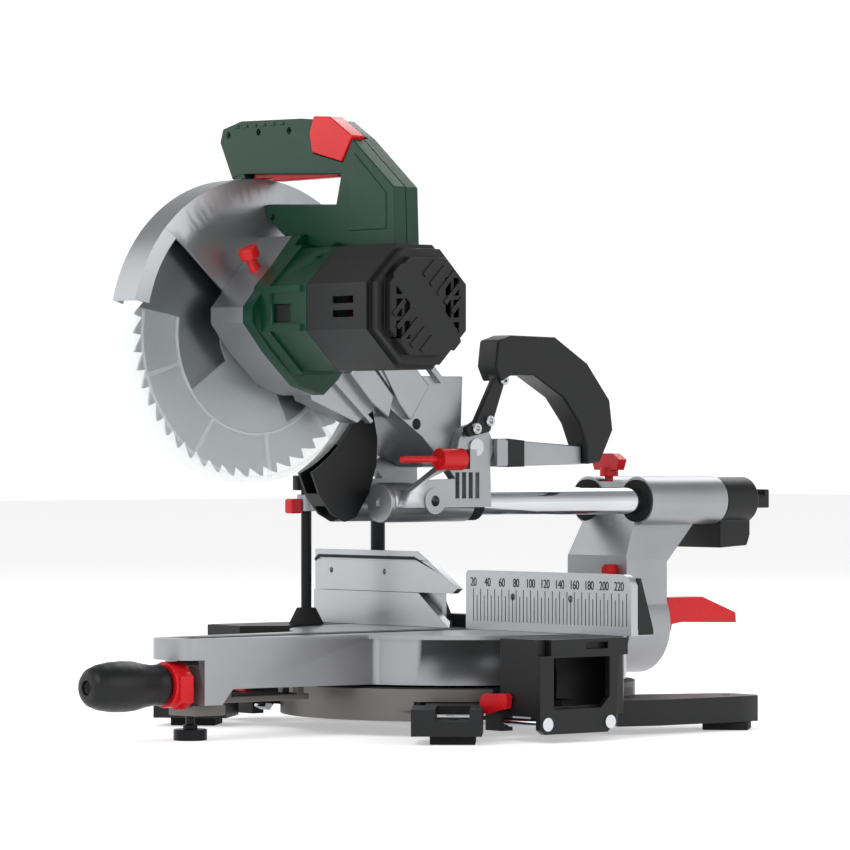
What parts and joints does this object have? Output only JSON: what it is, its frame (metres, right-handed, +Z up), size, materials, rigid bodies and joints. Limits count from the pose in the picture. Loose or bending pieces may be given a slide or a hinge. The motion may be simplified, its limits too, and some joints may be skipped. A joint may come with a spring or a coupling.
{
  "type": "mitre saw on stand",
  "caption": "Sliding compound mitre saw with twin rails, green motor and D-handle, mitre table, fences, side extensions and its own low footed base.",
  "frame": {"origin": "mitre axis where it meets the bench, the centre of the four bench bolt holes", "axes": "+X to the operator's right, +Y to the back of the saw, +Z up"},
  "size_m": [0.493, 0.786, 0.5533],
  "materials": {
    "black_casting": "satin textured black paint over cast iron",
    "base_ring": "gunmetal paint",
    "foot_rubber": "matte black rubber",
    "cast_aluminium": "bead-blasted die casting",
    "fence_aluminium": "brushed, machined face",
    "bright_steel": "polished chrome",
    "dark_steel": "blackened steel",
    "black_plastic": "fine-grained black plastic",
    "green_plastic": "dark green moulded nylon",
    "red_plastic": "bright red moulded plastic",
    "clear_plastic": "smoked clear polycarbonate",
    "blade_steel": "ground steel disc",
    "copper": "enamelled copper windings",
    "bronze": "sintered bronze"
  },
  "bodies": {
    "base": {"base_frame": "black_casting", "mitre_scale_ring": "base_ring", "foot_pads": "foot_rubber", "right_fence": "fence_aluminium", "left_fence": "fence_aluminium", "fence_bridge": "black_plastic", "fence_bolts": "dark_steel", "table_pivot_bolt": "bright_steel"},
    "sliding_fence": {"upper_fence": "fence_aluminium"},
    "fence_knob": {"fence_knob": "black_plastic"},
    "right_extension": {"right_extension": "black_plastic", "right_rods": "bright_steel"},
    "left_extension": {"left_extension": "black_plastic", "left_rods": "bright_steel"},
    "right_rod_lever": {"right_rod_lever": "red_plastic"},
    "left_rod_lever": {"left_rod_lever": "red_plastic"},
    "clamp_post": {"clamp_post": "dark_steel"},
    "hold_clamp": {"clamp_arm": "black_casting"},
    "clamp_screw": {"clamp_screw": "bright_steel", "clamp_pad": "foot_rubber"},
    "table": {"turntable": "cast_aluminium", "kerf_insert": "black_plastic", "arm_strap": "base_ring"},
    "mitre_knob": {"mitre_knob": "black_plastic", "lock_rod": "bright_steel"},
    "detent_lever": {"detent_collar": "red_plastic"},
    "levelling_foot": {"levelling_foot": "dark_steel"},
    "rail_support": {"rail_support": "cast_aluminium", "rail_bearings": "bronze", "rail_seals": "foot_rubber", "bevel_bolt": "bright_steel", "bevel_stop_pin": "red_plastic"},
    "slide_lock": {"slide_lock_knob": "red_plastic"},
    "bevel_lever": {"bevel_lever": "red_plastic"},
    "carriage": {"carriage": "cast_aluminium", "rails": "bright_steel", "rail_caps": "cast_aluminium", "rear_yoke": "black_plastic", "slide_bumper": "foot_rubber", "pivot_shaft": "bright_steel", "carry_handle": "black_plastic", "handle_arm": "cast_aluminium"},
    "depth_stop": {"depth_stop": "red_plastic"},
    "head": {"head_casting": "cast_aluminium", "return_spring": "dark_steel", "upper_guard": "cast_aluminium", "dust_chute": "black_plastic", "motor_housing": "green_plastic", "motor_end_cap": "black_plastic", "motor_stator": "dark_steel", "handle_front": "green_plastic", "handle_rear": "green_plastic"},
    "trigger": {"trigger": "red_plastic"},
    "lock_off_button": {"lock_off_button": "red_plastic"},
    "spindle_lock": {"spindle_lock": "red_plastic"},
    "lower_guard": {"lower_guard": "clear_plastic"},
    "arbor": {"blade": "blade_steel", "arbor_flanges": "dark_steel", "spindle": "bright_steel"},
    "rotor": {"motor_rotor": "copper"}
  },
  "joints": [
    {"name": "mitre", "type": "hinge", "parent": "base", "child": "table", "pos_m": [0, 0, 0], "axis": [0, 0, 1], "range_deg": [-47, 47]},
    {"name": "bevel", "type": "hinge", "parent": "table", "child": "rail_support", "pos_m": [0, 0.172, 0.091], "axis": [0, -1, 0], "range_deg": [0, 47]},
    {"name": "fence_slide", "type": "slide", "parent": "base", "child": "sliding_fence", "axis": [-1, 0, 0], "range_m": [0, 0.168]},
    {"name": "fence_knob_turn", "type": "hinge", "parent": "base", "child": "fence_knob", "pos_m": [-0.128, 0.026, 0.1113], "axis": [0, 1, 0], "range_deg": [-180, 0]},
    {"name": "right_extension_slide", "type": "slide", "parent": "base", "child": "right_extension", "axis": [1, 0, 0], "range_m": [0, 0.1]},
    {"name": "left_extension_slide", "type": "slide", "parent": "base", "child": "left_extension", "axis": [-1, 0, 0], "range_m": [0, 0.1]},
    {"name": "right_rod_lever_turn", "type": "hinge", "parent": "base", "child": "right_rod_lever", "pos_m": [0.178, -0.115, 0.033], "axis": [0, 1, 0], "range_deg": [0, 30]},
    {"name": "left_rod_lever_turn", "type": "hinge", "parent": "base", "child": "left_rod_lever", "pos_m": [-0.178, -0.115, 0.033], "axis": [0, -1, 0], "range_deg": [0, 30]},
    {"name": "clamp_lift", "type": "slide", "parent": "base", "child": "clamp_post", "axis": [0, 0, 1], "range_m": [0, 0.35]},
    {"name": "clamp_swing", "type": "hinge", "parent": "clamp_post", "child": "hold_clamp", "pos_m": [-0.166, 0.038, 0.1], "axis": [0, 0, -1], "range_deg": [0, 60]},
    {"name": "clamp_screw_travel", "type": "slide", "parent": "hold_clamp", "child": "clamp_screw", "axis": [0, 0, 1], "range_m": [0, 0.04]},
    {"name": "mitre_knob_turn", "type": "hinge", "parent": "table", "child": "mitre_knob", "pos_m": [0, -0.36, 0.05], "axis": [0, -1, 0], "range_deg": [-180, 0]},
    {"name": "detent_lever_turn", "type": "hinge", "parent": "table", "child": "detent_lever", "pos_m": [0, -0.335, 0.05], "axis": [0, 1, 0], "range_deg": [0, 15], "stiffness_Nm_per_rad": 1, "springref_deg": -11.46},
    {"name": "levelling_foot_travel", "type": "slide", "parent": "table", "child": "levelling_foot", "axis": [0, 0, 1], "range_m": [0, 0.008]},
    {"name": "slide_lock_turn", "type": "hinge", "parent": "rail_support", "child": "slide_lock", "pos_m": [-0.018, 0.204, 0.23], "axis": [0, 0, 1], "range_deg": [-90, 0]},
    {"name": "bevel_lever_turn", "type": "hinge", "parent": "rail_support", "child": "bevel_lever", "pos_m": [0, 0.23, 0.091], "axis": [0, 1, 0], "range_deg": [-50, 0]},
    {"name": "carriage_slide", "type": "slide", "parent": "rail_support", "child": "carriage", "axis": [0, -1, 0], "range_m": [-0.195, 0]},
    {"name": "depth_stop_turn", "type": "hinge", "parent": "carriage", "child": "depth_stop", "pos_m": [0.069, -0.07, 0.249], "axis": [0, 1, 0], "range_deg": [-180, 0]},
    {"name": "chop", "type": "hinge", "parent": "carriage", "child": "head", "pos_m": [0, -0.03, 0.26], "axis": [-1, 0, 0], "range_deg": [-37.5, 0], "stiffness_Nm_per_rad": 22, "springref_deg": 103.13},
    {"name": "trigger_press", "type": "slide", "parent": "head", "child": "trigger", "axis": [0, 0, 1], "range_m": [0, 0.006], "stiffness_N_per_m": 400, "springref_m": -0.004},
    {"name": "lock_off_press", "type": "slide", "parent": "head", "child": "lock_off_button", "axis": [0, 1, 0], "range_m": [0, 0.003], "stiffness_N_per_m": 400, "springref_m": -0.004},
    {"name": "spindle_lock_press", "type": "slide", "parent": "head", "child": "spindle_lock", "axis": [0, 0.4226, -0.9063], "range_m": [0, 0.005], "stiffness_N_per_m": 500, "springref_m": -0.004},
    {"name": "guard_lift", "type": "hinge", "parent": "head", "child": "lower_guard", "pos_m": [0, -0.2496, 0.3603], "axis": [-1, 0, 0], "range_deg": [0, 146.11]},
    {"name": "blade_spin", "type": "hinge", "parent": "head", "child": "arbor", "pos_m": [0, -0.2496, 0.3603], "axis": [1, 0, 0], "continuous": true},
    {"name": "rotor_spin", "type": "hinge", "parent": "head", "child": "rotor", "pos_m": [0, -0.23988, 0.38115], "axis": [1, 0, 0], "continuous": true}
  ],
  "couplings": [
    {"joint": "fence_slide", "follows": "bevel", "m_per_rad": 0.20478},
    {"joint": "clamp_lift", "follows": "bevel", "m_per_rad": 0.42665},
    {"joint": "guard_lift", "follows": "chop", "ratio": -3.8961},
    {"joint": "rotor_spin", "follows": "blade_spin", "ratio": -2.8333}
  ]
}
